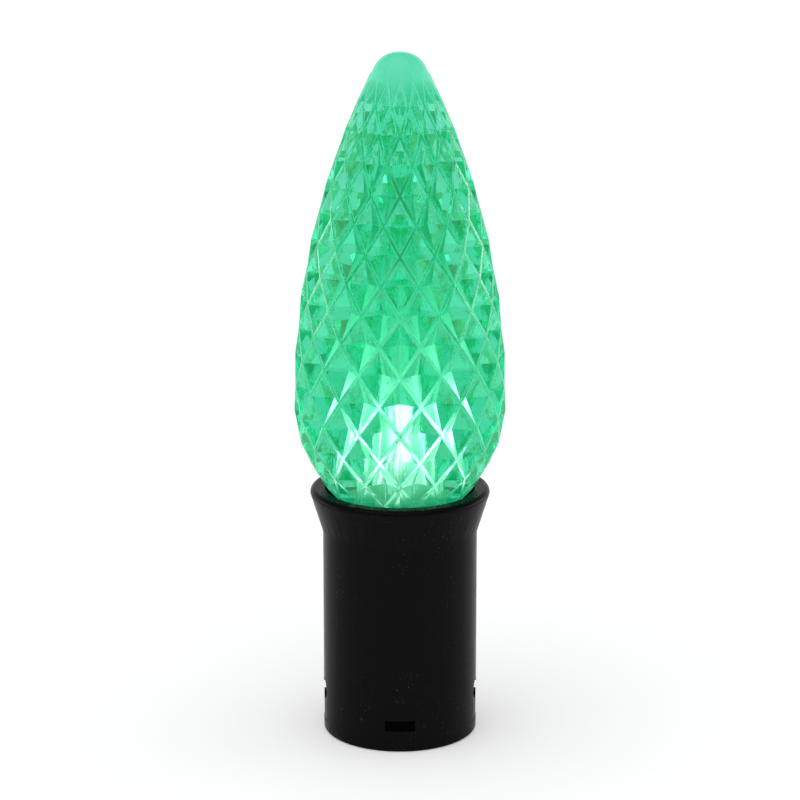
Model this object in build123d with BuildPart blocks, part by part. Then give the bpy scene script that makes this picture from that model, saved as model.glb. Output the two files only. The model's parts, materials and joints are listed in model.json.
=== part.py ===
"""Christmas lamp: a faceted green screw-in LED lamp standing in its black cable holder.

Millimetres, +Z up along the lamp's axis. The origin is the middle of the holder's flat underside,
and the side of the lamp that is looked at faces -Y. The cable runs through the holder along X.
"""
from build123d import *
from math import acos, asin, atan2, cos, hypot, pi, radians, sin, sqrt, tan
import os

os.makedirs("parts", exist_ok=True)

# Clearances
fixed_gap = 0.05            # between pieces that are pushed or glued together
running_gap = 0.1           # between the lamp's shell and the side contact
lens_gap = 0.25             # between the lens and the holder's mouth
parts_gap = 0.35            # between the driver board's parts, and from them to the collar

# Lamp base
shell_radius = 8.3          # over the thread crests
shell_length = 13.4
shell_wall = 0.35
shell_taper = 2.3           # the cone at its lower end
shell_lip_height = 2.2
thread_depth = 0.55         # rolled into the shell, crest to root
insulator_edge = 0.7        # round the tip contact
insulator_height = 2.6      # below the shell
insulator_flange = 1.2      # inside the shell
tip_radius = 3.0
tip_height = 1.2
tip_face_radius = 1.6
tip_round = 1.9
collar_step = 0.25          # over the shell
collar_height = 1.4
collar_wall = 1.1
collar_spigot = 4.5         # reach down inside the shell

# Lens outline
neck_step = 0.3             # over the shell
neck_length = 3.0
neck_wall = 1.5
lens_bulge = 5.7            # from the neck out to the ridges at the widest level
lens_height = 59.2          # above the holder's rim
bowl_radius = 18.6          # outline arc below the widest level
bowl_turn = 40.58           # degrees of it that show above the rim
lens_tip_radius = 4.13

# Lens facets
facet_columns = 16
row_pitch = 3.94            # along the outline
lowest_row_share = 0.4      # least part of a pitch left for the row at the neck
plain_tip = 2.7             # above the last crossing of ridges
ridge_width = 0.45
dimple_slope = 0.36         # depth of a recess for each millimetre of its width
dome_bands = 6

# Lens hollow, left by the tapered core of the mould
board_ledge = 1.1           # from the light board's edge in to the hollow
board_recess_depth = 0.2    # above the rim
hollow_tip_radius = 0.9
solid_tip = 12.2            # above the hollow

# Light and driver boards
led_board_thickness = 1.0
led_count = 3
led_ring_radius = 3.2
led_size = 3.0
led_height = 0.9
led_corner = 0.5
led_window_radius = 1.15
led_window_depth = 0.3
driver_margin = 0.95        # from the driver board's sides to the collar
driver_rise = 1.6           # above the insulator
driver_thickness = 1.0
rectifier_size = 4.0
rectifier_height = 1.8
rectifier_bevel = 0.3
leg_length = 1.2
leg_width = 0.6
leg_height = 0.9
leg_spacing = 2.4
resistor_radius = 1.1
resistor_waist = 0.94
resistor_length = 5.0
resistor_place = 2.6        # from the middle of the board
resistor_tail = 0.9         # from a component's end to the bend of its lead
capacitor_spare = 1.1       # left of the depth between board and collar
capacitor_length = 6.5
capacitor_round = 0.3
pin_side = 0.6
pin_chamfer = 0.12
pin_spacing = 6.0
pin_reach = 2.4
pin_stub = 0.3              # above the light board
lead_radius = 0.3
lead_bend = 0.6
lead_start = 1.6            # above the driver board's lower edge
lead_inset = 0.6            # from the driver board's side

# Holder
rim_width = 2.37            # over the mouth, before its edges are rounded
rim_round = 0.7
mouth_round = 0.35
mouth_lip = 1.5             # straight part of the mouth
mouth_depth = 4.6
flare_height = 6.2          # below the rim
body_wall = 1.65
skirt_wall = 1.7
cable_height = 6.0
channel_radius = 1.45
channel_spacing = 2.7
floor_thickness = 3.0       # above the cable channels

# Cable cap
cap_flange = 1.6
cap_round = 0.4
slot_wall = 0.4             # beside the cable channels
latch_width = 4.0
latch_height = 1.4
latch_reach = 0.6
latch_level = 3.0

# Contacts
contact_thickness = 0.4
side_contact_angle = 44
side_foot_width = 2.4
leaf_width = 4.0
leaf_rise = 1.2
leaf_flat = 0.9
leaf_dip = 0.4              # of its free end
leaf_outer_foot = 2.65      # from the prong outwards
leaf_inner_foot = 0.95
prong_width = 1.4
prong_offset = 4.4          # from the axis, along the cable
prong_reach = 0.7           # past the middle of the cable

# Screw motion
thread_pitch = 25.4 / 9
unscrew_turns = 3

# Radii that follow
shell_inside = shell_radius - shell_wall
shell_lip_radius = shell_radius - shell_taper
insulator_radius = tip_radius + insulator_edge
collar_radius = shell_radius + collar_step
neck_radius = shell_radius + neck_step
lens_radius = neck_radius + lens_bulge
board_recess_radius = neck_radius - neck_wall
upper_spigot = board_recess_radius - fixed_gap
lower_spigot = shell_inside - thread_depth - fixed_gap
collar_bore = upper_spigot - collar_wall
strip_inside = shell_radius + running_gap
strip_outside = strip_inside + contact_thickness
bore_radius = strip_outside + fixed_gap
body_radius = bore_radius + body_wall
skirt_radius = body_radius - skirt_wall
mouth_radius = lens_radius - bowl_radius * (1 - cos(radians(bowl_turn))) + lens_gap
rim_radius = mouth_radius + rim_width
across = 2 * rim_radius     # more than the whole holder, for cuts that go right through

# Heights that follow
widest_height = bowl_radius * sin(radians(bowl_turn))
floor_top = cable_height + channel_radius + floor_thickness
tip_bottom = floor_top + leaf_rise + fixed_gap
insulator_bottom = tip_bottom + tip_height
shell_bottom = insulator_bottom + insulator_height
shell_top = shell_bottom + shell_length
neck_bottom = shell_top + collar_height
bowl_height = sqrt(bowl_radius**2 - (bowl_radius - lens_bulge) ** 2)
rim_height = neck_bottom + neck_length + bowl_height - widest_height
widest_level = rim_height + widest_height
led_board_bottom = rim_height + board_recess_depth - led_board_thickness - led_height
led_board_top = led_board_bottom + led_board_thickness
driver_top = led_board_bottom
driver_bottom = shell_bottom + insulator_flange + driver_rise
side_contact_top = shell_bottom + shell_lip_height + unscrew_turns * thread_pitch


# Faceted lens: the flank is one arc from the widest level up to the rounded tip
flank_height = lens_height - widest_height
flank_radius = (
    (lens_radius**2 + flank_height**2 - 2 * flank_height * lens_tip_radius)
    / (2 * (lens_radius - lens_tip_radius))
)
dome_centre = lens_height - lens_tip_radius
neck_reach = -bowl_radius * acos(1 - lens_bulge / bowl_radius)
top_row_reach = flank_radius * asin((flank_height - plain_tip) / flank_radius)
ridge_rows = int((top_row_reach - neck_reach) / row_pitch - lowest_row_share) + 1
ridge_levels = [neck_reach] + [top_row_reach - row * row_pitch for row in reversed(range(ridge_rows))]


def outline(reach):
    """Radius and height of the lens outline at an arc length up from its widest level."""
    arc = bowl_radius if reach < 0 else flank_radius
    turn = reach / arc
    return lens_radius - arc * (1 - cos(turn)), widest_level + arc * sin(turn)


def on_lens(reach, column, depth=0.0):
    """Point on the lens, its column counted round from the front, or a depth inside it."""
    radius, height = outline(reach)
    azimuth = 2 * pi * column / facet_columns
    return ((radius - depth) * sin(azimuth), -(radius - depth) * cos(azimuth), height)


def column_shift(row):
    """Every second row of ridge crossings is turned by half a column."""
    return 0.5 * (row % 2)


def recess(row, middle):
    """Left, bottom, right and top corners and the deepest point of the recess at a column."""
    last = len(ridge_levels) - 1
    level = ridge_levels[row]
    half_width = pi * outline(level)[0] / facet_columns
    half_ridge = ridge_width / 2 * hypot(half_width, row_pitch) / (half_width * row_pitch)
    share = 1 if row in (0, last) else 1 - half_ridge
    spread = 0.5 * share
    below = ridge_levels[max(row - 1, 0)]
    above = ridge_levels[min(row + 1, last)]
    return (
        on_lens(level, middle - spread),
        on_lens(level + (below - level) * (1 - half_ridge), middle),
        on_lens(level, middle + spread),
        on_lens(level + (above - level) * (1 - half_ridge), middle),
        on_lens(level, middle, 2 * half_width * dimple_slope),
    )


def patch(corners):
    """Flat triangles that fan out from the first corner."""
    first, *others = corners
    return [Face(Wire.make_polygon([first, *pair])) for pair in zip(others, others[1:])]


def recess_faces():
    """Four sloping facets for each recess, with plain ones along the lattice's two edges."""
    faces = []
    last = len(ridge_levels) - 1
    for row in range(last + 1):
        for column in range(facet_columns):
            left, bottom, right, top, deepest = recess(row, column + column_shift(row) + 0.5)
            if row == 0:
                faces += patch([left, right, top])
                continue
            if row == last:
                faces += patch([left, bottom, right])
                continue
            around = [left, bottom, right, top, left]
            for start, end in zip(around, around[1:]):
                faces += patch([start, end, deepest])
    return faces


def ridge_faces():
    """The narrow flats of the ridges, and the small ones where they cross."""
    faces = []
    last = len(ridge_levels) - 1
    for row in range(last + 1):
        for column in range(facet_columns):
            crossing = column + column_shift(row)
            left_one = recess(row, crossing - 0.5)
            right_one = recess(row, crossing + 0.5)
            if row < last:
                upper = recess(row + 1, crossing)
                faces += patch([upper[1], right_one[0], right_one[3], upper[2]])
                faces += patch([left_one[2], upper[1], upper[0], left_one[3]])
            if 0 < row < last:
                lower = recess(row - 1, crossing)
                faces += patch([left_one[2], lower[3], right_one[0], upper[1]])
    return faces


def tip_faces():
    """The rounded tip above the lattice, in bands that narrow to one point."""
    shift = column_shift(len(ridge_levels) - 1)
    edge_radius, edge_height = outline(ridge_levels[-1])
    start = atan2(edge_height - rim_height - dome_centre, edge_radius)
    band_radius = hypot(edge_height - rim_height - dome_centre, edge_radius)
    rings = []
    for band in range(dome_bands):
        rise = start + (pi / 2 - start) * band / dome_bands
        ring = []
        for column in range(facet_columns + 1):
            azimuth = 2 * pi * (column % facet_columns + shift) / facet_columns
            ring_radius = band_radius * cos(rise)
            height = rim_height + dome_centre + band_radius * sin(rise)
            ring.append((ring_radius * sin(azimuth), -ring_radius * cos(azimuth), height))
        rings.append(ring)
    pole = (0, 0, rim_height + dome_centre + band_radius)
    faces = []
    for column in range(facet_columns):
        for lower, upper in zip(rings, rings[1:]):
            faces += patch([lower[column], lower[column + 1], upper[column + 1], upper[column]])
        faces += patch([rings[-1][column], rings[-1][column + 1], pole])
    return faces


neck_edge = [on_lens(ridge_levels[0], column) for column in reversed(range(facet_columns))]
lens_skin = recess_faces() + ridge_faces() + tip_faces() + [Face(Wire.make_polygon(neck_edge))]

with BuildPart() as lens:
    add(Solid(Shell(lens_skin)))
    neck_across = neck_radius * cos(pi / facet_columns)
    with BuildSketch(Plane.XY.offset(neck_bottom)):
        Circle(neck_across)
    extrude(amount=neck_length)
    with BuildSketch(Plane.XZ):
        with BuildLine():
            recess_top = rim_height + board_recess_depth
            hollow_top = rim_height + lens_height - solid_tip
            Polyline(
                (0, hollow_top),
                (0, neck_bottom),
                (board_recess_radius, neck_bottom),
                (board_recess_radius, recess_top),
                (board_recess_radius - board_ledge, recess_top),
                (hollow_tip_radius, hollow_top - hollow_tip_radius),
            )
            RadiusArc(
                (hollow_tip_radius, hollow_top - hollow_tip_radius), (0, hollow_top), -hollow_tip_radius
            )
        make_face()
    revolve(axis=Axis.Z, mode=Mode.SUBTRACT)


# Base collar: a flange between lens and shell, with a spigot into each
with BuildPart() as base_collar:
    with BuildSketch(Plane.XZ):
        with BuildLine():
            Polyline(
                (collar_bore, shell_top - collar_spigot),
                (lower_spigot, shell_top - collar_spigot),
                (lower_spigot, shell_top),
                (collar_radius, shell_top),
                (collar_radius, neck_bottom),
                (upper_spigot, neck_bottom),
                (upper_spigot, led_board_bottom),
                (collar_bore, led_board_bottom),
                close=True,
            )
        make_face()
    revolve(axis=Axis.Z)

# Screw shell: a drawn metal cup, open at the bottom for the insulator
with BuildPart() as screw_shell:
    with BuildSketch(Plane.XZ):
        with BuildLine():
            Polyline(
                (0, shell_bottom),
                (shell_lip_radius, shell_bottom),
                (shell_radius, shell_bottom + shell_lip_height),
                (shell_radius, shell_top),
                (0, shell_top),
                close=True,
            )
        make_face()
    revolve(axis=Axis.Z)
    ends = screw_shell.faces().filter_by(GeomType.PLANE).sort_by(Axis.Z)
    offset(amount=-shell_wall, openings=[ends[0], ends[-1]])

# Insulator: a plug in the cone of the shell, with a hole for the lead
cone_slope = shell_taper / shell_lip_height
lip_inside = shell_lip_radius - shell_wall * hypot(1, cone_slope) - fixed_gap
lead_hole = lead_radius + fixed_gap

with BuildPart() as base_insulator:
    with BuildSketch(Plane.XZ):
        with BuildLine():
            Polyline(
                (lead_hole, insulator_bottom),
                (insulator_radius, insulator_bottom),
                (lip_inside, shell_bottom),
                (lip_inside + insulator_flange * cone_slope, shell_bottom + insulator_flange),
                (lead_hole, shell_bottom + insulator_flange),
                close=True,
            )
        make_face()
    revolve(axis=Axis.Z)

# Tip contact: the domed rivet that the holder's leaf touches
with BuildPart() as tip_contact:
    with BuildSketch(Plane.XZ):
        with BuildLine():
            Polyline(
                (tip_radius, insulator_bottom),
                (0, insulator_bottom),
                (0, tip_bottom),
                (tip_face_radius, tip_bottom),
            )
            RadiusArc((tip_face_radius, tip_bottom), (tip_radius, insulator_bottom), tip_round)
        make_face()
    revolve(axis=Axis.Z)

# Light board: a disc on the collar, with holes for the two link pins
pin_level = -(driver_thickness + pin_side) / 2
with BuildPart() as led_board:
    with BuildSketch(Plane.XY.offset(led_board_bottom)):
        Circle(upper_spigot)
        with Locations((-pin_spacing / 2, pin_level), (pin_spacing / 2, pin_level)):
            Rectangle(pin_side + 2 * fixed_gap, pin_side + 2 * fixed_gap, mode=Mode.SUBTRACT)
    extrude(amount=led_board_thickness)

# Light emitters: square packages with a round window and one cut corner
led_parts = []
for place in PolarLocations(led_ring_radius, led_count, start_angle=-90).local_locations:
    led_plane = Plane((place.position.X, place.position.Y, led_board_top))
    with BuildPart() as led:
        with BuildSketch(led_plane):
            Rectangle(led_size, led_size)
        extrude(amount=led_height)
        chamfer(led.edges().filter_by(Axis.Z).sort_by(Axis.X)[-1], led_corner)
        with BuildSketch(led_plane.offset(led_height)):
            Circle(led_window_radius)
        extrude(amount=-led_window_depth, mode=Mode.SUBTRACT)
    led_parts.append(led.part)

# Driver board, upright under the light board, with its parts on both faces
board_face = driver_thickness / 2
half_driver = collar_bore - driver_margin
with BuildPart() as driver_board:
    with BuildSketch(Plane.XY.offset(driver_bottom)):
        Rectangle(2 * half_driver, driver_thickness)
    extrude(amount=driver_top - driver_bottom)

resistor_level = driver_bottom + lead_start + resistor_length / 2
resistor_seat = -board_face - resistor_radius
resistor_span = resistor_length / 2 + resistor_tail
with BuildPart() as dropping_resistor:
    with BuildLine() as resistor_wire:
        FilletPolyline(
            (-resistor_place, -board_face, resistor_level - resistor_span),
            (-resistor_place, resistor_seat, resistor_level - resistor_span),
            (-resistor_place, resistor_seat, resistor_level + resistor_span),
            (-resistor_place, -board_face, resistor_level + resistor_span),
            radius=lead_bend,
        )
    with BuildSketch(Plane(resistor_wire.line @ 0, z_dir=resistor_wire.line % 0)):
        Circle(lead_radius)
    sweep()
    with BuildSketch(Plane.XY.offset(resistor_level)):
        with Locations((-resistor_place, resistor_seat)):
            Circle(resistor_waist)
    extrude(amount=resistor_length / 2, both=True)
    ends = resistor_length / 2 - resistor_radius
    with Locations(
        (-resistor_place, resistor_seat, resistor_level - ends),
        (-resistor_place, resistor_seat, resistor_level + ends),
    ):
        Sphere(resistor_radius)

rectifier_level = resistor_level + resistor_span + lead_radius + parts_gap + rectifier_size / 2
rectifier_seat = Plane((0, -board_face, rectifier_level), x_dir=(1, 0, 0), z_dir=(0, -1, 0))
with BuildPart() as bridge_rectifier:
    with BuildSketch(rectifier_seat):
        Rectangle(rectifier_size, rectifier_size)
    extrude(amount=rectifier_height)
    chamfer(bridge_rectifier.faces().sort_by(Axis.Y)[0].edges(), rectifier_bevel)
    with BuildSketch(rectifier_seat):
        with GridLocations(rectifier_size, leg_spacing, 2, 2):
            Rectangle(leg_length, leg_width)
    extrude(amount=leg_height)

capacitor_level = driver_bottom + lead_start
capacitor_radius = (collar_bore - parts_gap - board_face - capacitor_spare) / 2
capacitor_seat = board_face + capacitor_radius
capacitor_place = sqrt((collar_bore - parts_gap - capacitor_radius) ** 2 - capacitor_seat**2)
with BuildPart() as smoothing_capacitor:
    with BuildSketch(Plane.XY.offset(capacitor_level)):
        with Locations((-capacitor_place, capacitor_seat)):
            Circle(capacitor_radius)
    extrude(amount=capacitor_length)
    fillet(smoothing_capacitor.edges().group_by(Axis.Z)[-1], capacitor_round)
    for lead_place in (-capacitor_place - capacitor_radius / 2, -capacitor_place + capacitor_radius / 2):
        with BuildLine() as capacitor_wire:
            FilletPolyline(
                (lead_place, capacitor_seat, capacitor_level),
                (lead_place, capacitor_seat, capacitor_level - resistor_tail),
                (lead_place, board_face, capacitor_level - resistor_tail),
                radius=lead_bend,
            )
        with BuildSketch(Plane(capacitor_wire.line @ 0, z_dir=capacitor_wire.line % 0)):
            Circle(lead_radius)
        sweep(path=capacitor_wire.line)

# Link pins: square pins that hold the light board to the driver board
link_pins = []
for side in (-1, 1):
    with BuildPart() as link_pin:
        with BuildSketch(Plane.XY.offset(driver_top - pin_reach)):
            with Locations((side * pin_spacing / 2, pin_level)):
                Rectangle(pin_side, pin_side)
        extrude(amount=pin_reach + led_board_thickness + pin_stub)
        chamfer(link_pin.faces().sort_by(Axis.Z)[-1].edges(), pin_chamfer)
    link_pins.append(link_pin.part)

# Leads from the driver board to the two poles of the base
lead_level = board_face + lead_radius
with BuildPart() as tip_lead:
    with BuildLine() as tip_wire:
        FilletPolyline(
            (0, -lead_level, driver_bottom + lead_start),
            (0, -lead_level, driver_bottom),
            (0, 0, driver_bottom - lead_level),
            (0, 0, insulator_bottom),
            radius=lead_bend,
        )
    with BuildSketch(Plane(tip_wire.line @ 0, z_dir=tip_wire.line % 0)):
        Circle(lead_radius)
    sweep()

wall_reach = sqrt((shell_inside - fixed_gap - lead_radius) ** 2 - lead_level**2)
with BuildPart() as shell_lead:
    with BuildLine() as shell_wire:
        FilletPolyline(
            (half_driver - lead_inset, lead_level, driver_bottom + 2 * lead_start),
            (half_driver - lead_inset, lead_level, driver_bottom + lead_start),
            (wall_reach, lead_level, driver_bottom + lead_start),
            (wall_reach, lead_level, driver_bottom),
            radius=lead_bend,
        )
    with BuildSketch(Plane(shell_wire.line @ 0, z_dir=shell_wire.line % 0)):
        Circle(lead_radius)
    sweep()

# Holder body: one black moulding, with the mouth ring above and a skirt for the cap below
prong_slot_length = prong_width + 2 * fixed_gap
prong_slot_width = contact_thickness + 2 * fixed_gap
channel_middle = channel_spacing / 2
cap_slot_width = channel_spacing + 2 * channel_radius + 2 * slot_wall
channel_planes = Plane.YZ.offset(-rim_radius)

with BuildPart() as holder_body:
    with BuildSketch(Plane.XZ):
        with BuildLine():
            Polyline(
                (0, cap_flange),
                (body_radius, cap_flange),
                (body_radius, rim_height - flare_height),
                (rim_radius, rim_height),
                (mouth_radius, rim_height),
                (mouth_radius, rim_height - mouth_lip),
                (bore_radius, rim_height - mouth_depth),
                (bore_radius, floor_top),
                (0, floor_top),
                close=True,
            )
        make_face()
    revolve(axis=Axis.Z)
    fillet(holder_body.edges().group_by(Axis.Z)[-1].sort_by(SortBy.RADIUS)[-1], rim_round)
    fillet(holder_body.edges().group_by(Axis.Z)[-1].sort_by(SortBy.RADIUS)[0], mouth_round)
    with BuildSketch(Plane.XY.offset(cap_flange)):
        Circle(skirt_radius)
    extrude(amount=cable_height - cap_flange, mode=Mode.SUBTRACT)
    with BuildSketch(Plane.XY.offset(cap_flange)):
        Rectangle(across, cap_slot_width)
    extrude(amount=cable_height - cap_flange, mode=Mode.SUBTRACT)
    with BuildSketch(channel_planes):
        with Locations((-channel_middle, cable_height), (channel_middle, cable_height)):
            Circle(channel_radius)
    extrude(amount=across, mode=Mode.SUBTRACT)
    with BuildSketch(Plane.XY.offset(latch_level - fixed_gap)):
        Rectangle(latch_width + 2 * fixed_gap, across)
    extrude(amount=latch_height + 2 * fixed_gap, mode=Mode.SUBTRACT)
    with BuildSketch(Plane.XY.offset(floor_top)):
        with Locations((prong_offset, channel_middle), (-prong_offset, -channel_middle)):
            Rectangle(prong_slot_length, prong_slot_width)
    extrude(amount=cable_height - floor_top, mode=Mode.SUBTRACT)

# Cable cap: a flange, a plug with the lower halves of the cable channels, and two latches
plug_radius = skirt_radius - fixed_gap
with BuildPart() as cable_cap:
    Cylinder(body_radius, cap_flange, align=(Align.CENTER, Align.CENTER, Align.MIN))
    fillet(cable_cap.edges().group_by(Axis.Z)[0], cap_round)
    with BuildSketch(Plane.XY.offset(cap_flange)):
        Circle(plug_radius)
    extrude(amount=cable_height - cap_flange)
    with BuildSketch(Plane.XY.offset(cap_flange)):
        Rectangle(across, cap_slot_width - 2 * fixed_gap)
        Circle(body_radius - fixed_gap, mode=Mode.INTERSECT)
    extrude(amount=cable_height - cap_flange)
    with BuildSketch(channel_planes):
        with Locations((-channel_middle, cable_height), (channel_middle, cable_height)):
            Circle(channel_radius)
    extrude(amount=across, mode=Mode.SUBTRACT)
    for side in (-1, 1):
        with BuildSketch(Plane.YZ.offset(-latch_width / 2)):
            with BuildLine():
                Polyline(
                    (side * (plug_radius - latch_reach), latch_level),
                    (side * (plug_radius + latch_reach), latch_level),
                    (side * (plug_radius - latch_reach), latch_level + latch_height),
                    close=True,
                )
            make_face()
        extrude(amount=latch_width)

# Side contact: a strip up the bore, a foot along the floor and a prong for the cable
foot_length = strip_inside - prong_offset + prong_width / 2


def prong(middle_x, middle_y):
    """Outline of the pointed blade that goes down from the floor into one wire of the cable."""
    blade_plane = Plane.XZ.offset(-middle_y - contact_thickness / 2)
    with BuildSketch(blade_plane) as blade:
        with BuildLine():
            Polyline(
                (middle_x - prong_width / 2, floor_top + contact_thickness),
                (middle_x - prong_width / 2, cable_height + prong_reach),
                (middle_x, cable_height - prong_reach),
                (middle_x + prong_width / 2, cable_height + prong_reach),
                (middle_x + prong_width / 2, floor_top + contact_thickness),
                close=True,
            )
        make_face()
    return blade.sketch


with BuildPart() as side_contact:
    with BuildSketch(Plane.XY.offset(floor_top)):
        Circle(strip_outside)
        Circle(strip_inside, mode=Mode.SUBTRACT)
        with BuildLine():
            strip_edge = across * tan(radians(side_contact_angle / 2))
            Polyline((0, 0), (across, -strip_edge), (across, strip_edge), close=True)
        make_face(mode=Mode.INTERSECT)
    extrude(amount=side_contact_top - floor_top)
    with BuildSketch(Plane.XY.offset(floor_top)):
        with Locations((prong_offset - prong_width / 2, channel_middle)):
            Rectangle(foot_length, side_foot_width, align=(Align.MIN, Align.CENTER))
    extrude(amount=contact_thickness)
    extrude(prong(prong_offset, channel_middle), amount=contact_thickness)

# Centre contact: a bent leaf under the tip contact, with its own prong
with BuildPart() as centre_contact:
    with BuildSketch(Plane.XZ.offset(-leaf_width / 2)):
        with BuildLine() as leaf_line:
            middle_level = floor_top + contact_thickness / 2
            Polyline(
                (-prong_offset - leaf_outer_foot, middle_level),
                (-prong_offset + leaf_inner_foot, middle_level),
                (-leaf_flat, middle_level + leaf_rise - contact_thickness),
                (leaf_flat, middle_level + leaf_rise - contact_thickness),
                (2 * leaf_flat, middle_level + leaf_rise - contact_thickness - leaf_dip),
            )
        trace(line_width=contact_thickness)
    extrude(amount=leaf_width)
    extrude(prong(-prong_offset, -channel_middle), amount=contact_thickness)

pieces = {
    "lens": lens.part,
    "base_collar": base_collar.part,
    "screw_shell": screw_shell.part,
    "base_insulator": base_insulator.part,
    "tip_contact": tip_contact.part,
    "led_board": led_board.part,
    "driver_board": driver_board.part,
    "bridge_rectifier": bridge_rectifier.part,
    "dropping_resistor": dropping_resistor.part,
    "smoothing_capacitor": smoothing_capacitor.part,
    "tip_lead": tip_lead.part,
    "shell_lead": shell_lead.part,
    "holder_body": holder_body.part,
    "cable_cap": cable_cap.part,
    "side_contact": side_contact.part,
    "centre_contact": centre_contact.part,
}
pieces.update({f"led_{number}": part for number, part in enumerate(led_parts, start=1)})
pieces.update({f"link_pin_{number}": part for number, part in enumerate(link_pins, start=1)})

for name, piece in pieces.items():
    piece.label = name
    export_step(piece, f"parts/{name}.step")
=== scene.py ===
"""Looks of the faceted Christmas lamp in its black holder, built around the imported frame."""
import json
import math

import bmesh
import bpy
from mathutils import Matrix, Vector

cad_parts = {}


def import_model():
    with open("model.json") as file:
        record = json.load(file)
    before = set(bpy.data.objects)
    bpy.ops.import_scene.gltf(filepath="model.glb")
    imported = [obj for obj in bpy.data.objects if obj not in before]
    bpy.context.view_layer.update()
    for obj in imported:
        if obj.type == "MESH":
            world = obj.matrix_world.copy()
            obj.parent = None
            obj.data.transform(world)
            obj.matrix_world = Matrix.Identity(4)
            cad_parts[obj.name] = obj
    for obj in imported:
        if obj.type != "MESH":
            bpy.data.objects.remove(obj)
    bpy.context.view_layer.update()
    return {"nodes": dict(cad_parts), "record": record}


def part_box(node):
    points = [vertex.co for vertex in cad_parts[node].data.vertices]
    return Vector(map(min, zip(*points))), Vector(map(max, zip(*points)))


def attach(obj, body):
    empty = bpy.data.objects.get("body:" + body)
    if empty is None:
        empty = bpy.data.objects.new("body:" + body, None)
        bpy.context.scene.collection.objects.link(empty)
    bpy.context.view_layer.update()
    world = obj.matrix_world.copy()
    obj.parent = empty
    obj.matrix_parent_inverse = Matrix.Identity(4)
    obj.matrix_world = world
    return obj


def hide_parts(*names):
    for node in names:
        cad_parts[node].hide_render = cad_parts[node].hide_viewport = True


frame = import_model()

MM = 0.001

# Photograph's view: the lamp upright, seen from a little above
IMAGE_WIDTH = 800
FOCAL_PIXELS = 3028
SENSOR_WIDTH = 36.0
CAMERA_DISTANCE = 404 * MM
CAMERA_ELEVATION = math.radians(12.6)
CAMERA_PITCH = math.radians(15.1)
AIM_ABOVE_RIM = 30.3 * MM
CLIP_START = 0.01

# Edges of the mouldings and stampings
JOINED_GAP = 0.0005 * MM
FLAT_ANGLE = math.radians(0.4)
CORNER_ANGLE = math.radians(28)
KEPT_CORNER = math.radians(50)
MOULDED_EDGE = 0.12 * MM
STAMPED_EDGE = 0.05 * MM

# Lens
RIDGE_ANGLE = math.radians(25)
RIDGE_EDGE = 0.07 * MM
RIDGE_WIDTH = 0.1 * MM
VALLEY_ANGLE = math.radians(12)
VALLEY_SHARE = 0.4
PLAIN_TIP = 2.7 * MM
TIP_CUTS = 3
TIP_ROUND = 5.0 * MM         # height of the round whose upper part the plain tip is
TIP_POWER = 2.3              # 2 gives an ellipse, more a blunter end
TIP_FULLNESS = 1.06
TIP_SLACK = 0.01 * MM
NECK_HEIGHT = 3 * MM
HOLLOW_SPREAD = 0.13         # slope of a cone from the tip, which parts the hollow from the skin
LENS_BEAMS = ((-20, 1.0), (90, 0.3), (200, 1.0))    # painted beams of light on the hollow's foot, seen as white glints in the facets: degrees round from the right, strength

# Rolled thread of the shell
THREAD_PITCH = 25.4 / 9 * MM
THREAD_DEPTH = 0.55 * MM
THREAD_RUNOUT = 1.2 * MM
FIRST_CREST = 3.7 * MM       # above the shell's bottom, at the sheet's seam
SHELL_TAPER = 2.3 * MM
SHELL_TAPER_HEIGHT = 2.2 * MM
SHELL_SHEET = 0.3 * MM
SEAM_GAP = 0.002 * MM
THREAD_COLUMNS = 96
THREAD_ROWS = 84

# Drops of gel and solder joints, with half their width, depth and height
GEL_SIZE = (1.1 * MM, 1.1 * MM, 0.18 * MM)
PIN_JOINT_SIZE = (0.62 * MM, 0.62 * MM, 0.26 * MM)
DRIVER_JOINT_SIZE = (0.58 * MM, 0.3 * MM, 0.58 * MM)
BEAD_SEGMENTS = 20
BEAD_RINGS = 12
WINDOW_DEPTH = 0.3 * MM
JOINT_INSET = 0.3 * MM        # from a component's end to its joint
CAPACITOR_WIRES = (0.25, 0.75)    # places of its wires across its width

# Studio
WHITE = (1, 1, 1)
FLOOR_REACH = 3.0
SKY = (0.7, 0.7, 0.71)
SKY_OVERHEAD = (0.15, 0.6)    # rise where the sky goes from white to dark
CLEAR_FRONT = (-0.7, -0.1)    # depth where clear plastic sees it go from dark to white
SHINY_FRONT = (-0.1, 0.5)     # the same in shiny surfaces
CLEAR_DARK = (0.3, 0.3, 0.3)
SHINY_DARK = (0.1, 0.1, 0.1)
SOFTBOXES = {
    # azimuth from the front to the right, elevation, distance, size, radiance
    "key_softbox": (-25, 72, 0.9, (1.1, 1.1), 0.8),
    "right_strip_softbox": (104, -1, 0.7, (0.8, 0.24), 2.5),
    "left_strip_softbox": (-104, -3, 0.7, (0.6, 0.2), 2.5),
}


class Value:
    """A number, colour or vector in a node tree, which adds and multiplies like a number."""

    def __init__(self, maker, socket):
        self.maker = maker
        self.socket = socket

    def math(self, operation, *others):
        return self.maker.math(operation, self, *others)

    def __add__(self, other):
        return self.math("ADD", other)

    def __sub__(self, other):
        return self.math("SUBTRACT", other)

    def __mul__(self, other):
        return self.math("MULTIPLY", other)

    def __truediv__(self, other):
        return self.math("DIVIDE", other)

    def __rsub__(self, other):
        return self.maker.math("SUBTRACT", other, self)

    def __rtruediv__(self, other):
        return self.maker.math("DIVIDE", other, self)

    __radd__ = __add__
    __rmul__ = __mul__

    def above(self, low, high):
        """0 below low, 1 above high, and smooth between them."""
        settings = {"interpolation_type": "SMOOTHSTEP"}
        inputs = {"Value": self, "From Min": low, "From Max": high}
        return self.maker.node("ShaderNodeMapRange", settings, inputs)

    def between(self, low, high, soft):
        """1 from low to high, with soft edges inside them."""
        return self.above(low, low + soft) * (1 - self.above(high - soft, high))


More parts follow.
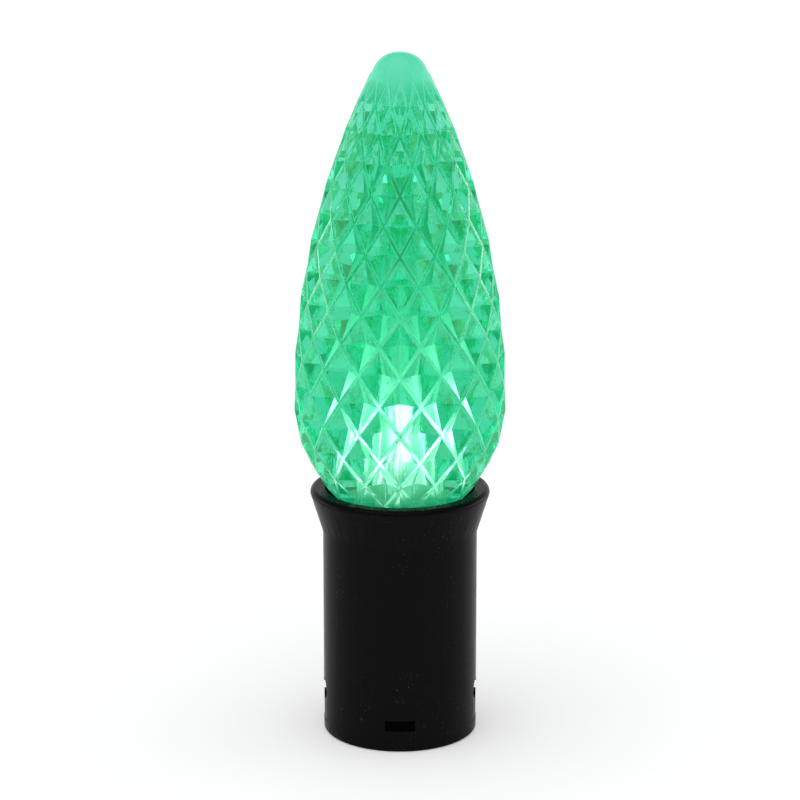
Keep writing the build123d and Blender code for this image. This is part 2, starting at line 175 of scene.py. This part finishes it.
class Maker:
    """Puts nodes into one tree."""

    def __init__(self, tree):
        self.tree = tree

    def node(self, kind, settings=None, inputs=None, output=0):
        made = self.tree.nodes.new(kind)
        for name, value in (settings or {}).items():
            setattr(made, name, value)
        for name, value in (inputs or {}).items():
            if isinstance(value, Value):
                self.tree.links.new(value.socket, made.inputs[name])
            else:
                made.inputs[name].default_value = value
        return Value(self, made.outputs[output])

    def math(self, operation, *numbers):
        return self.node("ShaderNodeMath", {"operation": operation}, dict(enumerate(numbers)))

    def axes(self, place):
        split = self.node("ShaderNodeSeparateXYZ", inputs={0: place})
        return [Value(self, socket) for socket in split.socket.node.outputs]

    def blend(self, share, first, second):
        """Colour that goes from the first to the second as the share goes from 0 to 1."""
        inputs = {0: share, 6: self.color(first), 7: self.color(second)}
        return self.node("ShaderNodeMix", {"data_type": "RGBA"}, inputs, 2)

    @staticmethod
    def color(value):
        return value if isinstance(value, Value) else (*value, 1)


class Finish(Maker):
    """One material and the nodes that make it."""

    def __init__(self, name):
        self.material = bpy.data.materials.new(name)
        self.material.use_nodes = True
        super().__init__(self.material.node_tree)
        self.tree.nodes.clear()
        self.end = self.tree.nodes.new("ShaderNodeOutputMaterial")

    def place(self):
        """Position on the piece, in metres from the middle of the holder's underside."""
        return self.node("ShaderNodeTexCoord", output="Object")

    def noise(self, place, grain, detail=3.0, scale=None):
        """Smooth noise with grains of about this size in metres, between 0 and 1."""
        if scale:
            stretch = {0: place, 1: scale}
            place = self.node("ShaderNodeVectorMath", {"operation": "MULTIPLY"}, stretch)
        inputs = {"Vector": place, "Scale": 1 / grain, "Detail": detail}
        return self.node("ShaderNodeTexNoise", inputs=inputs)

    def cells(self, place, size):
        """Distance from the middle of cells of about this size in metres."""
        return self.node("ShaderNodeTexVoronoi", inputs={"Vector": place, "Scale": 1 / size})

    def bump(self, height, depth, strength):
        """Normal of a surface that this height, from 0 to 1, raises by a depth in metres."""
        inputs = {"Height": height, "Distance": depth, "Strength": strength}
        return self.node("ShaderNodeBump", inputs=inputs)

    def shader(self, **inputs):
        """A shader, with its sockets named by words with underscores."""
        named = {name.replace("_", " "): value for name, value in inputs.items()}
        for name in ("Base Color", "Emission Color"):
            if isinstance(named.get(name), tuple):
                named[name] = self.color(named[name])
        return self.node("ShaderNodeBsdfPrincipled", inputs=named)

    def surface(self, **inputs):
        """The material with one such shader all over."""
        return self.ends_in(self.shader(**inputs))

    def ends_in(self, shader):
        self.tree.links.new(shader.socket, self.end.inputs["Surface"])
        return self.material

    def dye(self, color, density):
        """Dye in clear plastic, which takes more light the longer its way through."""
        inputs = {"Color": self.color(color), "Density": density}
        made = self.node("ShaderNodeVolumeAbsorption", inputs=inputs)
        self.tree.links.new(made.socket, self.end.inputs["Volume"])


class Rule(Maker):
    """A geometry tree with named inputs for its sizes, which makes one mesh."""

    def __init__(self, name, sizes):
        super().__init__(bpy.data.node_groups.new(name, "GeometryNodeTree"))
        self.sizes = sizes
        # The points come first, because a modifier hands its mesh to the first input
        self.tree.interface.new_socket("Points", in_out="INPUT", socket_type="NodeSocketGeometry")
        for size, value in sizes.items():
            kind = "NodeSocketVector" if isinstance(value, tuple) else "NodeSocketFloat"
            self.tree.interface.new_socket(size, in_out="INPUT", socket_type=kind)
        self.tree.interface.new_socket("Finish", in_out="INPUT", socket_type="NodeSocketMaterial")
        self.tree.interface.new_socket("Mesh", in_out="OUTPUT", socket_type="NodeSocketGeometry")
        self.given = self.tree.nodes.new("NodeGroupInput")
        self.end = self.tree.nodes.new("NodeGroupOutput")

    def __getitem__(self, name):
        return Value(self, self.given.outputs[name])

    def run(self, geometry, material, points=(), sheet=None):
        """Ends the tree and gives the mesh that it makes of the points."""
        real = self.node("GeometryNodeRealizeInstances", inputs={"Geometry": geometry})
        inputs = {"Geometry": real, "Material": self["Finish"]}
        coated = self.node("GeometryNodeSetMaterial", inputs=inputs)
        self.tree.links.new(coated.socket, self.end.inputs["Mesh"])
        start = bpy.data.meshes.new(self.tree.name)
        start.from_pydata(list(points), [], [])
        blank = bpy.data.objects.new(self.tree.name, start)
        bpy.context.collection.objects.link(blank)
        modifier = blank.modifiers.new("rule", "NODES")
        modifier.node_group = self.tree
        for item in self.tree.interface.items_tree:
            if item.name == "Finish":
                modifier[item.identifier] = material
            elif item.name in self.sizes:
                modifier[item.identifier] = self.sizes[item.name]
        if sheet:
            wall = blank.modifiers.new("wall", "SOLIDIFY")
            wall.thickness = sheet
            wall.offset = -1
        return taken_mesh(blank)


def taken_mesh(blank):
    """The plain mesh of an object with its modifiers, and the object gone."""
    bpy.context.view_layer.update()
    evaluated = blank.evaluated_get(bpy.context.evaluated_depsgraph_get())
    mesh = bpy.data.meshes.new_from_object(evaluated)
    bpy.data.objects.remove(blank)
    return mesh


def clear_green_plastic():
    """Dyed clear moulding, milky on its ridges and tip, with a painted glow all through, and a
    frosted hollow with a painted glow and glints at its foot and painted shade above.
    """
    finish = Finish("clear_green_plastic")
    place = finish.place()
    x, y, z = finish.axes(place)
    flow = finish.noise(place, 1.3 * MM, detail=4, scale=(1, 1, 0.16))
    haze = finish.noise(place, 4 * MM, detail=2)
    rub = finish.noise(place, 0.4 * MM, detail=2)
    drag = finish.noise(place, 0.35 * MM, detail=3, scale=(1, 1, 0.04))
    streaks = finish.noise(place, 1.8 * MM, detail=1, scale=(1, 1, 0.08))
    ridge = finish.node("ShaderNodeAttribute", {"attribute_name": "ridge"}, output="Fac")
    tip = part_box("lens")[1][2]
    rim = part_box("holder_body")[1][2]
    radius = (x * x + y * y).math("SQRT")
    hollow = 1 - (radius - HOLLOW_SPREAD * (tip - z)).above(0, 0.3 * MM)
    height = z - rim
    lit = hollow * height.above(0, 5 * MM) * (1 - height.above(14 * MM, 36 * MM))
    # Painted light: beams of emission on the hollow's foot, which the facets show as white glints
    beam = 0.0
    for turn, strength in LENS_BEAMS:
        turn = math.radians(turn)
        aim = (x * math.cos(turn) + y * math.sin(turn)) / radius
        beam = aim.above(0.5, 0.8) * strength + beam
    foot = hollow * height.above(2 * MM, 6 * MM) * (1 - height.above(10 * MM, 15 * MM))
    beam = foot * beam * (0.15 + 0.85 * streaks.above(0.42, 0.58))
    dome = z.above(tip - 9.5 * MM, tip - 1.5 * MM)
    patchy = finish.noise(place, 2.5 * MM, detail=2).above(0.35, 0.6)
    tint = finish.blend(flow.above(0.35, 0.7), (0.8, 0.99, 0.95), (0.7, 0.97, 0.92))
    # Painted shade: higher up, the hollow's colour goes dark green in streaks, where less of the
    # LEDs' light reaches
    streaked_painted_shade = finish.blend(streaks.above(0.35, 0.55), (0.3, 0.9, 0.65), (0.0, 0.3, 0.08))
    tint = finish.blend(hollow * height.above(14 * MM, 34 * MM), tint, streaked_painted_shade)
    # Painted light: emission for the LEDs' light in the plastic, faint green all over and paler on
    # the hollow's foot, then the beams
    glow = finish.blend(lit, (0.0, 0.07, 0.032), (0.24, 0.26, 0.23))
    glow = finish.blend(beam, glow, (5.4, 3.0, 3.1))
    relief = finish.bump(flow + rub * 0.05 + drag * hollow * 0.3, 0.12 * MM, 0.8)
    frost = hollow * 0.4 + dome * 0.1 + ridge * 0.2
    clear = finish.shader(
        Base_Color=tint,
        Roughness=0.03 + haze.above(0.4, 0.75) * 0.05 + frost,
        IOR=1.56,
        Transmission_Weight=0.985,
        Emission_Color=glow,
        Emission_Strength=1.0,
        Normal=relief,
    )
    # Painted light: the milky share glows green as emission, paler on the tip and ridges
    pale_glow = (dome + ridge * 0.6).math("MINIMUM", 1.0)
    milky = finish.shader(
        Base_Color=finish.blend(haze, (0.005, 0.46, 0.24), (0.015, 0.56, 0.32)),
        Roughness=0.25 + haze * 0.2,
        Specular_IOR_Level=0.25,
        Emission_Color=finish.blend(pale_glow, (0.0, 0.3, 0.15), (0.11, 0.31, 0.24)),
        Emission_Strength=1.0,
        Normal=relief,
    )
    finish.dye((0.07, 0.89, 0.7), 150)
    clouded = (0.08 + ridge * (0.2 + 0.35 * patchy) + dome * 0.7).math("MINIMUM", 0.8)
    mixed = finish.node("ShaderNodeMixShader", inputs={0: clouded, 1: clear, 2: milky})
    return finish.ends_in(mixed)


def glossy_black_plastic():
    """Glossy black moulding: faint orange peel, a parting line, rub marks and a little dust."""
    finish = Finish("glossy_black_plastic")
    place = finish.place()
    y = finish.axes(place)[1]
    peel = finish.noise(place, 1.1 * MM, detail=2)
    rub = finish.noise(place, 0.5 * MM, detail=4, scale=(1, 1, 0.2)).above(0.5, 0.8)
    dust = finish.noise(place, 0.28 * MM, detail=1).above(0.68, 0.74)
    dusty = dust * finish.noise(place, 6 * MM, detail=2).above(0.48, 0.62)
    seam = 1 - y.math("ABSOLUTE").above(0.03 * MM, 0.09 * MM)
    return finish.surface(
        Base_Color=finish.blend(dusty * 0.4, (0.004, 0.004, 0.0045), (0.09, 0.09, 0.09)),
        Roughness=0.24 + rub * 0.12 + dusty * 0.3,
        Specular_IOR_Level=0.05,
        Normal=finish.bump(peel * 0.3 + seam, 0.03 * MM, 0.4),
    )


def white_plastic():
    """Plain white moulding with a slight satin grain and a darker cast in places."""
    finish = Finish("white_plastic")
    place = finish.place()
    grain = finish.noise(place, 0.25 * MM)
    shade = finish.noise(place, 3 * MM, detail=2)
    return finish.surface(
        Base_Color=finish.blend(shade, (0.76, 0.78, 0.74), (0.86, 0.87, 0.83)),
        Roughness=0.38 + grain * 0.15,
        Normal=finish.bump(grain, 0.01 * MM, 0.5),
    )


def nickel_plating():
    """Nickel plated sheet: fine turning lines and a few dull spots."""
    finish = Finish("nickel_plating")
    place = finish.place()
    lines = finish.noise(place, 0.07 * MM, detail=2, scale=(0.03, 0.03, 1))
    dull = finish.noise(place, 1.2 * MM, detail=4).above(0.52, 0.75)
    return finish.surface(
        Base_Color=finish.blend(dull * 0.6, (0.78, 0.76, 0.71), (0.48, 0.44, 0.38)),
        Metallic=1.0,
        Roughness=0.2 + lines * 0.14 + dull * 0.2,
        Normal=finish.bump(lines, 0.006 * MM, 0.5),
    )


def stamped_brass():
    """Stamped brass strip: rolling grain along it and light tarnish."""
    finish = Finish("stamped_brass")
    place = finish.place()
    grain = finish.noise(place, 0.08 * MM, scale=(1, 1, 0.05))
    tarnish = finish.noise(place, 1.5 * MM, detail=4).above(0.42, 0.75)
    return finish.surface(
        Base_Color=finish.blend(tarnish, (0.83, 0.62, 0.27), (0.5, 0.33, 0.13)),
        Metallic=1.0,
        Roughness=0.24 + grain * 0.15 + tarnish * 0.2,
        Normal=finish.bump(grain, 0.008 * MM, 0.5),
    )


def black_compound():
    """Dull black moulding compound with a fine pitted skin."""
    finish = Finish("black_compound")
    place = finish.place()
    pits = finish.cells(place, 0.25 * MM)
    shade = finish.noise(place, 1.5 * MM)
    return finish.surface(
        Base_Color=finish.blend(shade, (0.012, 0.012, 0.013), (0.032, 0.031, 0.03)),
        Roughness=0.42 + shade * 0.2,
        Normal=finish.bump(pits, 0.012 * MM, 0.5),
    )


def solder_mask(name, mask_color, track_color, across, along):
    """Circuit board: mask over tracks, which show as slightly raised and lighter lines."""
    finish = Finish(name)
    place = finish.place()
    weave = finish.cells(place, 0.16 * MM)
    wander = finish.noise(place, 3 * MM, detail=0) * (2.2 * MM)
    axes = finish.axes(place)
    side = ((axes[across] + wander) / (1.7 * MM)).math("FRACT")
    length = ((axes[along] - wander) / (3.6 * MM)).math("FRACT")
    track = side.between(0.36, 0.7, 0.04) * length.above(0.1, 0.14)
    return finish.surface(
        Base_Color=finish.blend(track, mask_color, track_color),
        Roughness=0.3 + weave * 0.12,
        Normal=finish.bump(track + weave * 0.1, 0.03 * MM, 0.6),
    )


def white_package():
    """White moulded package with a fine grain and a faint painted green glow all over, for its
    chip's light.
    """
    finish = Finish("white_package")
    place = finish.place()
    grain = finish.noise(place, 0.12 * MM)
    return finish.surface(
        Base_Color=finish.blend(grain, (0.8, 0.83, 0.8), (0.88, 0.9, 0.88)),
        Roughness=0.4 + grain * 0.12,
        # Painted light: a faint green glow, even all over
        Emission_Color=(0.02, 0.1, 0.05),
        Emission_Strength=1.0,
        Normal=finish.bump(grain, 0.005 * MM, 0.5),
    )


def lit_gel():
    """Clear gel in a package's window, with the lit chip under it."""
    finish = Finish("lit_gel")
    place = finish.place()
    sparkle = finish.noise(place, 0.2 * MM)
    return finish.surface(
        Base_Color=finish.blend(sparkle, (0.5, 0.95, 0.65), (0.62, 1.0, 0.75)),
        Roughness=0.12 + sparkle * 0.1,
        Emission_Color=finish.blend(sparkle, (0.7, 1.0, 0.75), (0.85, 1.0, 0.85)),
        Emission_Strength=2.0,
        Normal=finish.bump(sparkle, 0.004 * MM, 0.5),
    )


def banded_lacquer():
    """Tan lacquer with plain colour bands, and tinned ends."""
    finish = Finish("banded_lacquer")
    place = finish.place()
    z = finish.axes(place)[2]
    low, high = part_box("dropping_resistor")
    middle = (low[2] + high[2]) / 2
    skin = finish.noise(place, 0.3 * MM)
    color = finish.blend(skin, (0.56, 0.43, 0.26), (0.66, 0.53, 0.34))
    half_band = 0.24 * MM
    bands = {
        -1.5: (0.35, 0.1, 0.04),
        -0.6: (0.02, 0.02, 0.02),
        0.3: (0.6, 0.25, 0.03),
        1.6: (0.5, 0.36, 0.1),
    }
    for shift, tint in bands.items():
        level = middle + shift * MM
        band = z.between(level - half_band, level + half_band, 0.04 * MM)
        color = finish.blend(band, color, tint)
    ends = (z - middle).math("ABSOLUTE").above(2.55 * MM, 2.6 * MM)
    return finish.surface(
        Base_Color=finish.blend(ends, color, (0.75, 0.75, 0.76)),
        Metallic=ends,
        Roughness=0.3 + skin * 0.1,
        Normal=finish.bump(skin, 0.01 * MM, 0.5),
    )


def striped_sleeve():
    """Dark shrink sleeve with one pale stripe down its side, a bare can top and bare wires."""
    finish = Finish("striped_sleeve")
    place = finish.place()
    x, _, z = finish.axes(place)
    low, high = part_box("smoothing_capacitor")
    skin = finish.noise(place, 0.3 * MM)
    stripe = x.above(high[0] - 0.75 * MM, high[0] - 0.7 * MM)
    color = finish.blend(stripe, (0.02, 0.03, 0.06), (0.6, 0.63, 0.66))
    top = z.above(high[2] - 0.12 * MM, high[2] - 0.08 * MM)
    wires = 1 - z.above(low[2] + 1.1 * MM, low[2] + 1.15 * MM)
    bare = (top + wires).math("MINIMUM", 1.0)
    return finish.surface(
        Base_Color=finish.blend(bare, color, (0.75, 0.76, 0.78)),
        Metallic=bare,
        Roughness=0.28 + skin * 0.12,
        Normal=finish.bump(skin, 0.01 * MM, 0.5),
    )


def tinned_copper():
    """Tinned copper with a slightly uneven dip."""
    finish = Finish("tinned_copper")
    place = finish.place()
    dip = finish.noise(place, 0.5 * MM)
    return finish.surface(
        Base_Color=finish.blend(dip, (0.72, 0.72, 0.73), (0.84, 0.84, 0.85)),
        Metallic=1.0,
        Roughness=0.18 + dip * 0.2,
        Normal=finish.bump(dip, 0.02 * MM, 0.6),
    )


def body_of_node(name):
    bodies = frame["record"]["behaviour"]["bodies"]
    return next(body for body, nodes in bodies.items() if name in nodes)


def put(name, mesh, material, node, replaces=True):
    """Makes a finished piece of a mesh, on the same body as a node."""
    mesh.materials.clear()
    mesh.materials.append(material)
    piece = bpy.data.objects.new(name, mesh)
    bpy.context.collection.objects.link(piece)
    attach(piece, body_of_node(node))
    if replaces:
        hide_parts(node)
    return piece


def joined_solid(name):
    """A copy of a node's solid, its loose triangles joined and its flat faces whole."""
    shape = bmesh.new()
    shape.from_mesh(frame["nodes"][name].data)
    bmesh.ops.remove_doubles(shape, verts=shape.verts, dist=JOINED_GAP)
    bmesh.ops.dissolve_limit(shape, angle_limit=FLAT_ANGLE, verts=shape.verts, edges=shape.edges)
    return shape


def corner(edge, least):
    """Whether two faces meet at the edge, at more than the least angle."""
    return len(edge.link_faces) == 2 and edge.calc_face_angle(0) > least


def break_edges(shape, edges, width):
    """Takes the sharpness off edges, as a mould or a tool leaves it."""
    bmesh.ops.bevel(
        shape, geom=edges, offset=width, segments=1, profile=0.5, affect="EDGES", clamp_overlap=True
    )


def soft_mesh(name, shape, bevel=0.0):
    """A mesh whose large faces shade flat and whose small ones blend between them.

    With a bevel it also rounds the edges that have a weight.
    """
    for face in shape.faces:
        face.smooth = True
    for edge in shape.edges:
        edge.smooth = bevel > 0 or not corner(edge, KEPT_CORNER)
    mesh = bpy.data.meshes.new(name)
    shape.to_mesh(mesh)
    shape.free()
    blank = bpy.data.objects.new(name + "_blank", mesh)
    bpy.context.collection.objects.link(blank)
    if bevel:
        rounding = blank.modifiers.new("rounding", "BEVEL")
        rounding.limit_method = "WEIGHT"
        rounding.width = bevel
        rounding.segments = 2
        rounding.use_clamp_overlap = False
    blank.modifiers.new("shading", "WEIGHTED_NORMAL").keep_sharp = True
    return taken_mesh(blank)


def dressed(name, material, width):
    """The piece that stands for a node: its solid with broken edges and its finish."""
    shape = joined_solid(name)
    break_edges(shape, [edge for edge in shape.edges if corner(edge, CORNER_ANGLE)], width)
    return put(name + "_piece", soft_mesh(name, shape), material, name)


def lens_moulding(material):
    """The lens, its ridges and valleys softened and its tip rounded from the solid's bands."""
    shape = joined_solid("lens")
    share = shape.edges.layers.float.new("bevel_weight_edge")
    low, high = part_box("lens")
    top = high[2]
    level = top - PLAIN_TIP
    tip_faces = [
        face for face in shape.faces if min(vert.co.z for vert in face.verts) > level - TIP_SLACK
    ]
    tip_edges = list({edge for face in tip_faces for edge in face.edges})
    bmesh.ops.subdivide_edges(shape, edges=tip_edges, cuts=TIP_CUTS, use_grid_fill=True)
    tip_verts = {vert for vert in shape.verts if vert.co.z > level - TIP_SLACK}
    reach = max(vert.co.xy.length for vert in tip_verts)
    level_share = (1 - (1 - PLAIN_TIP / TIP_ROUND) ** TIP_POWER) ** (1 / TIP_POWER)
    widest = reach * TIP_FULLNESS / level_share
    for vert in tip_verts:
        if vert.co.z > level + TIP_SLACK:
            vert.co.xy *= TIP_FULLNESS
            across = vert.co.xy.length / widest
            vert.co.z = top - TIP_ROUND * (1 - (1 - across**TIP_POWER) ** (1 / TIP_POWER))
        else:
            vert.co.xy = vert.co.xy.normalized() * reach * TIP_FULLNESS
    shape.normal_update()
    neck = low[2] + NECK_HEIGHT

    def on_skin(point, highest):
        return neck < point.z < highest and point.xy.length > HOLLOW_SPREAD * (top - point.z)

    for edge in shape.edges:
        middle = (edge.verts[0].co + edge.verts[1].co) / 2
        if on_skin(middle, level - RIDGE_EDGE):
            angle = edge.calc_face_angle_signed(0)
            edge[share] = 1.0 if angle > RIDGE_ANGLE else VALLEY_SHARE * (angle < -VALLEY_ANGLE)
    mesh = soft_mesh("lens", shape, RIDGE_EDGE)
    narrow = mesh.attributes.new("ridge", "FLOAT", "FACE")
    spots = [vert.co for vert in mesh.vertices]
    for face in mesh.polygons:
        longest = max((spots[first] - spots[last]).length for first, last in face.edge_keys)
        is_ridge = on_skin(face.center, level) and face.area / longest < RIDGE_WIDTH
        narrow.data[face.index].value = float(is_ridge)
    return put("lens_piece", mesh, material, "lens")


def rolled_shell(material):
    """The lamp's threaded shell, rolled from thin sheet."""
    low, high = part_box("screw_shell")
    rule = Rule("rolled_thread", {
        "Crest radius": high[0],
        "Bottom": low[2],
        "Top": high[2],
        "Pitch": THREAD_PITCH,
        "First crest": FIRST_CREST,
        "Depth": THREAD_DEPTH,
        "Runout": THREAD_RUNOUT,
        "Taper": SHELL_TAPER,
        "Taper height": SHELL_TAPER_HEIGHT,
    })
    corners = {"Vertices X": THREAD_COLUMNS + 1, "Vertices Y": THREAD_ROWS + 1}
    sheet = rule.node("GeometryNodeMeshGrid", inputs={"Size X": 1.0, "Size Y": 1.0, **corners})
    across, along = rule.axes(rule.node("GeometryNodeInputPosition"))[:2]
    turn = across + 0.5
    height = rule["Bottom"] + (along + 0.5) * (rule["Top"] - rule["Bottom"])
    rise = height - rule["Bottom"]
    cone = rule["Taper"] * (1 - rise / rule["Taper height"]).math("MAXIMUM", 0.0)
    start = rule["Bottom"] + rule["Taper height"]
    fade = height.above(start, start + rule["Runout"])
    fade = fade * (1 - height.above(rule["Top"] - rule["Runout"], rule["Top"]))
    turns = (rise - rule["First crest"]) / rule["Pitch"] - turn
    wave = 0.5 - 0.5 * (turns * math.tau).math("COSINE")
    radius = rule["Crest radius"] - cone - rule["Depth"] * fade * wave
    angle = turn * math.tau
    sides = {0: radius * angle.math("COSINE"), 1: radius * angle.math("SINE"), 2: height}
    place = rule.node("ShaderNodeCombineXYZ", inputs=sides)
    rolled = rule.node("GeometryNodeSetPosition", inputs={"Geometry": sheet, "Position": place})
    inputs = {"Geometry": rolled, "Distance": SEAM_GAP}
    closed = rule.node("GeometryNodeMergeByDistance", inputs=inputs)
    smooth = rule.node("GeometryNodeSetShadeSmooth", inputs={"Geometry": closed})
    mesh = rule.run(smooth, material, sheet=SHELL_SHEET)
    return put("screw_shell_piece", mesh, material, "screw_shell")


def beads(name, points, size, material, node):
    """Rounded beads, such as solder joints or drops of gel, half sunk at points on a node."""
    rule = Rule(name, {"Size": size})
    sizes = {"Segments": BEAD_SEGMENTS, "Rings": BEAD_RINGS, "Radius": 1.0}
    ball = rule.node("GeometryNodeMeshUVSphere", inputs=sizes)
    inputs = {"Points": rule["Points"], "Instance": ball, "Scale": rule["Size"]}
    set_down = rule.node("GeometryNodeInstanceOnPoints", inputs=inputs)
    smooth = rule.node("GeometryNodeSetShadeSmooth", inputs={"Geometry": set_down})
    return put(name, rule.run(smooth, material, points), material, node, replaces=False)


def middle_of(name):
    low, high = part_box(name)
    return [(first + last) / 2 for first, last in zip(low, high)]


def light_parts(wire):
    """Gel in the emitters' windows and the solder round the link pins."""
    gel_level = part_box("led_1")[1][2] - WINDOW_DEPTH
    windows = [(*middle_of(f"led_{number}")[:2], gel_level) for number in (1, 2, 3)]
    beads("led_gels", windows, GEL_SIZE, lit_gel(), "led_1")
    board_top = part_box("led_board")[1][2]
    pins = [(*middle_of(f"link_pin_{number}")[:2], board_top) for number in (1, 2)]
    beads("pin_solder", pins, PIN_JOINT_SIZE, wire, "link_pin_1")


def driver_joints(wire):
    """Solder joints of the parts on both faces of the driver board."""
    low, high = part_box("driver_board")
    front, back = low[1], high[1]
    resistor_low, resistor_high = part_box("dropping_resistor")
    middle = middle_of("dropping_resistor")[0]
    ends = (resistor_low[2] + JOINT_INSET, resistor_high[2] - JOINT_INSET)
    joints = [(middle, front, height) for height in ends]
    capacitor_low, capacitor_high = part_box("smoothing_capacitor")
    for place in CAPACITOR_WIRES:
        side = capacitor_low[0] + place * (capacitor_high[0] - capacitor_low[0])
        joints.append((side, back, capacitor_low[2] + JOINT_INSET))
    joints.append((middle_of("tip_lead")[0], front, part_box("tip_lead")[1][2] - JOINT_INSET))
    shell_low, shell_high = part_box("shell_lead")
    joints.append((shell_low[0] + JOINT_INSET, back, shell_high[2] - JOINT_INSET))
    beads("driver_solder", joints, DRIVER_JOINT_SIZE, wire, "tip_lead")


def make_pieces():
    black = glossy_black_plastic()
    brass = stamped_brass()
    compound = black_compound()
    wire = tinned_copper()
    package = white_package()
    lens_moulding(clear_green_plastic())
    dressed("base_collar", white_plastic(), MOULDED_EDGE)
    rolled_shell(nickel_plating())
    dressed("base_insulator", compound, MOULDED_EDGE)
    dressed("tip_contact", brass, STAMPED_EDGE)
    white = solder_mask("white_mask", (0.78, 0.8, 0.78), (0.87, 0.88, 0.86), 0, 1)
    dressed("led_board", white, STAMPED_EDGE)
    for number in (1, 2, 3):
        dressed(f"led_{number}", package, STAMPED_EDGE)
    green = solder_mask("green_mask", (0.012, 0.1, 0.04), (0.03, 0.2, 0.08), 0, 2)
    dressed("driver_board", green, STAMPED_EDGE)
    dressed("bridge_rectifier", compound, STAMPED_EDGE)
    dressed("dropping_resistor", banded_lacquer(), STAMPED_EDGE)
    dressed("smoothing_capacitor", striped_sleeve(), STAMPED_EDGE)
    for name in ("link_pin_1", "link_pin_2", "shell_lead", "tip_lead"):
        dressed(name, wire, STAMPED_EDGE)
    dressed("holder_body", black, MOULDED_EDGE)
    dressed("cable_cap", black, MOULDED_EDGE)
    dressed("side_contact", brass, STAMPED_EDGE)
    dressed("centre_contact", brass, STAMPED_EDGE)
    light_parts(wire)
    driver_joints(wire)


def floor_finish():
    """Plain pale floor, which the camera sees as white and which keeps the lamp's shadow."""
    finish = Finish("pale_floor")
    place = finish.place()
    grain = finish.noise(place, 30 * MM, detail=2)
    x, y = finish.axes(place)[:2]
    away = (x * x + y * y).math("SQRT").above(20 * MM, 400 * MM)
    seen = finish.node("ShaderNodeLightPath") * (0.4 + 0.6 * away)
    return finish.surface(
        Base_Color=finish.blend(grain, (0.9, 0.9, 0.9), (0.93, 0.93, 0.93)),
        Roughness=0.7,
        Emission_Color=finish.blend(seen, (0, 0, 0), (0.5, 0.5, 0.5)),
        Emission_Strength=1.0,
    )


def stage():
    mesh = bpy.data.meshes.new("floor")
    signs = ((-1, -1), (1, -1), (1, 1), (-1, 1))
    corners = [(side * FLOOR_REACH, depth * FLOOR_REACH, 0) for side, depth in signs]
    mesh.from_pydata(corners, [], [(0, 1, 2, 3)])
    floor = bpy.data.objects.new("floor", mesh)
    bpy.context.collection.objects.link(floor)
    mesh.materials.append(floor_finish())


def world():
    """Soft pale light all round, which the camera sees as white.

    Shiny and clear surfaces see it as white too, but dark overhead and on the camera's side.
    """
    made = bpy.data.worlds.new("studio")
    bpy.context.scene.world = made
    made.use_nodes = True
    maker = Maker(made.node_tree)
    maker.tree.nodes.clear()
    path = maker.node("ShaderNodeLightPath").socket.node
    rays = ("Is Camera Ray", "Is Glossy Ray", "Is Transmission Ray")
    camera_ray, glossy_ray, clear_ray = (Value(maker, path.outputs[name]) for name in rays)
    depth, rise = maker.axes(maker.node("ShaderNodeTexCoord", output="Generated"))[1:]
    overhead = rise.above(*SKY_OVERHEAD)
    near = 1 - depth.above(*CLEAR_FRONT)
    through = maker.blend(overhead.math("MAXIMUM", near), WHITE, CLEAR_DARK)
    near = 1 - depth.above(*SHINY_FRONT)
    mirrored = maker.blend(overhead.math("MAXIMUM", near), WHITE, SHINY_DARK)
    shade = maker.blend(clear_ray, SKY, through)
    shade = maker.blend(glossy_ray, shade, mirrored)
    shade = maker.blend(camera_ray, shade, WHITE)
    background = maker.node("ShaderNodeBackground", inputs={"Color": shade})
    end = maker.tree.nodes.new("ShaderNodeOutputWorld")
    maker.tree.links.new(background.socket, end.inputs["Surface"])


def softbox(name, azimuth, elevation, distance, size, radiance):
    """Rectangular light aimed at the lens, its azimuth counted from the front to the right."""
    turn = math.radians(azimuth)
    rise = math.radians(elevation)
    level = math.cos(rise)
    way = Vector((math.sin(turn) * level, -math.cos(turn) * level, math.sin(rise)))
    data = bpy.data.lights.new(name, "AREA")
    data.shape = "RECTANGLE"
    data.size, data.size_y = size
    data.energy = radiance * math.pi * size[0] * size[1]
    light = bpy.data.objects.new(name, data)
    light.location = Vector(middle_of("lens")) + way * distance
    light.rotation_euler = (-way).to_track_quat("-Z", "Y").to_euler()
    bpy.context.collection.objects.link(light)


def lights():
    for name, setting in SOFTBOXES.items():
        softbox(name, *setting)


def camera():
    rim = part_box("holder_body")[1][2]
    data = bpy.data.cameras.new("photo_view")
    data.sensor_width = SENSOR_WIDTH
    data.lens = FOCAL_PIXELS / IMAGE_WIDTH * SENSOR_WIDTH
    data.clip_start = CLIP_START
    made = bpy.data.objects.new("photo_view", data)
    across = CAMERA_DISTANCE * math.cos(CAMERA_ELEVATION)
    made.location = (0, -across, rim + AIM_ABOVE_RIM + CAMERA_DISTANCE * math.sin(CAMERA_ELEVATION))
    made.rotation_euler = (math.pi / 2 - CAMERA_PITCH, 0, 0)
    bpy.context.collection.objects.link(made)
    bpy.context.scene.camera = made


make_pieces()
stage()
world()
lights()
camera()
bpy.context.scene.view_settings.view_transform = "Standard"
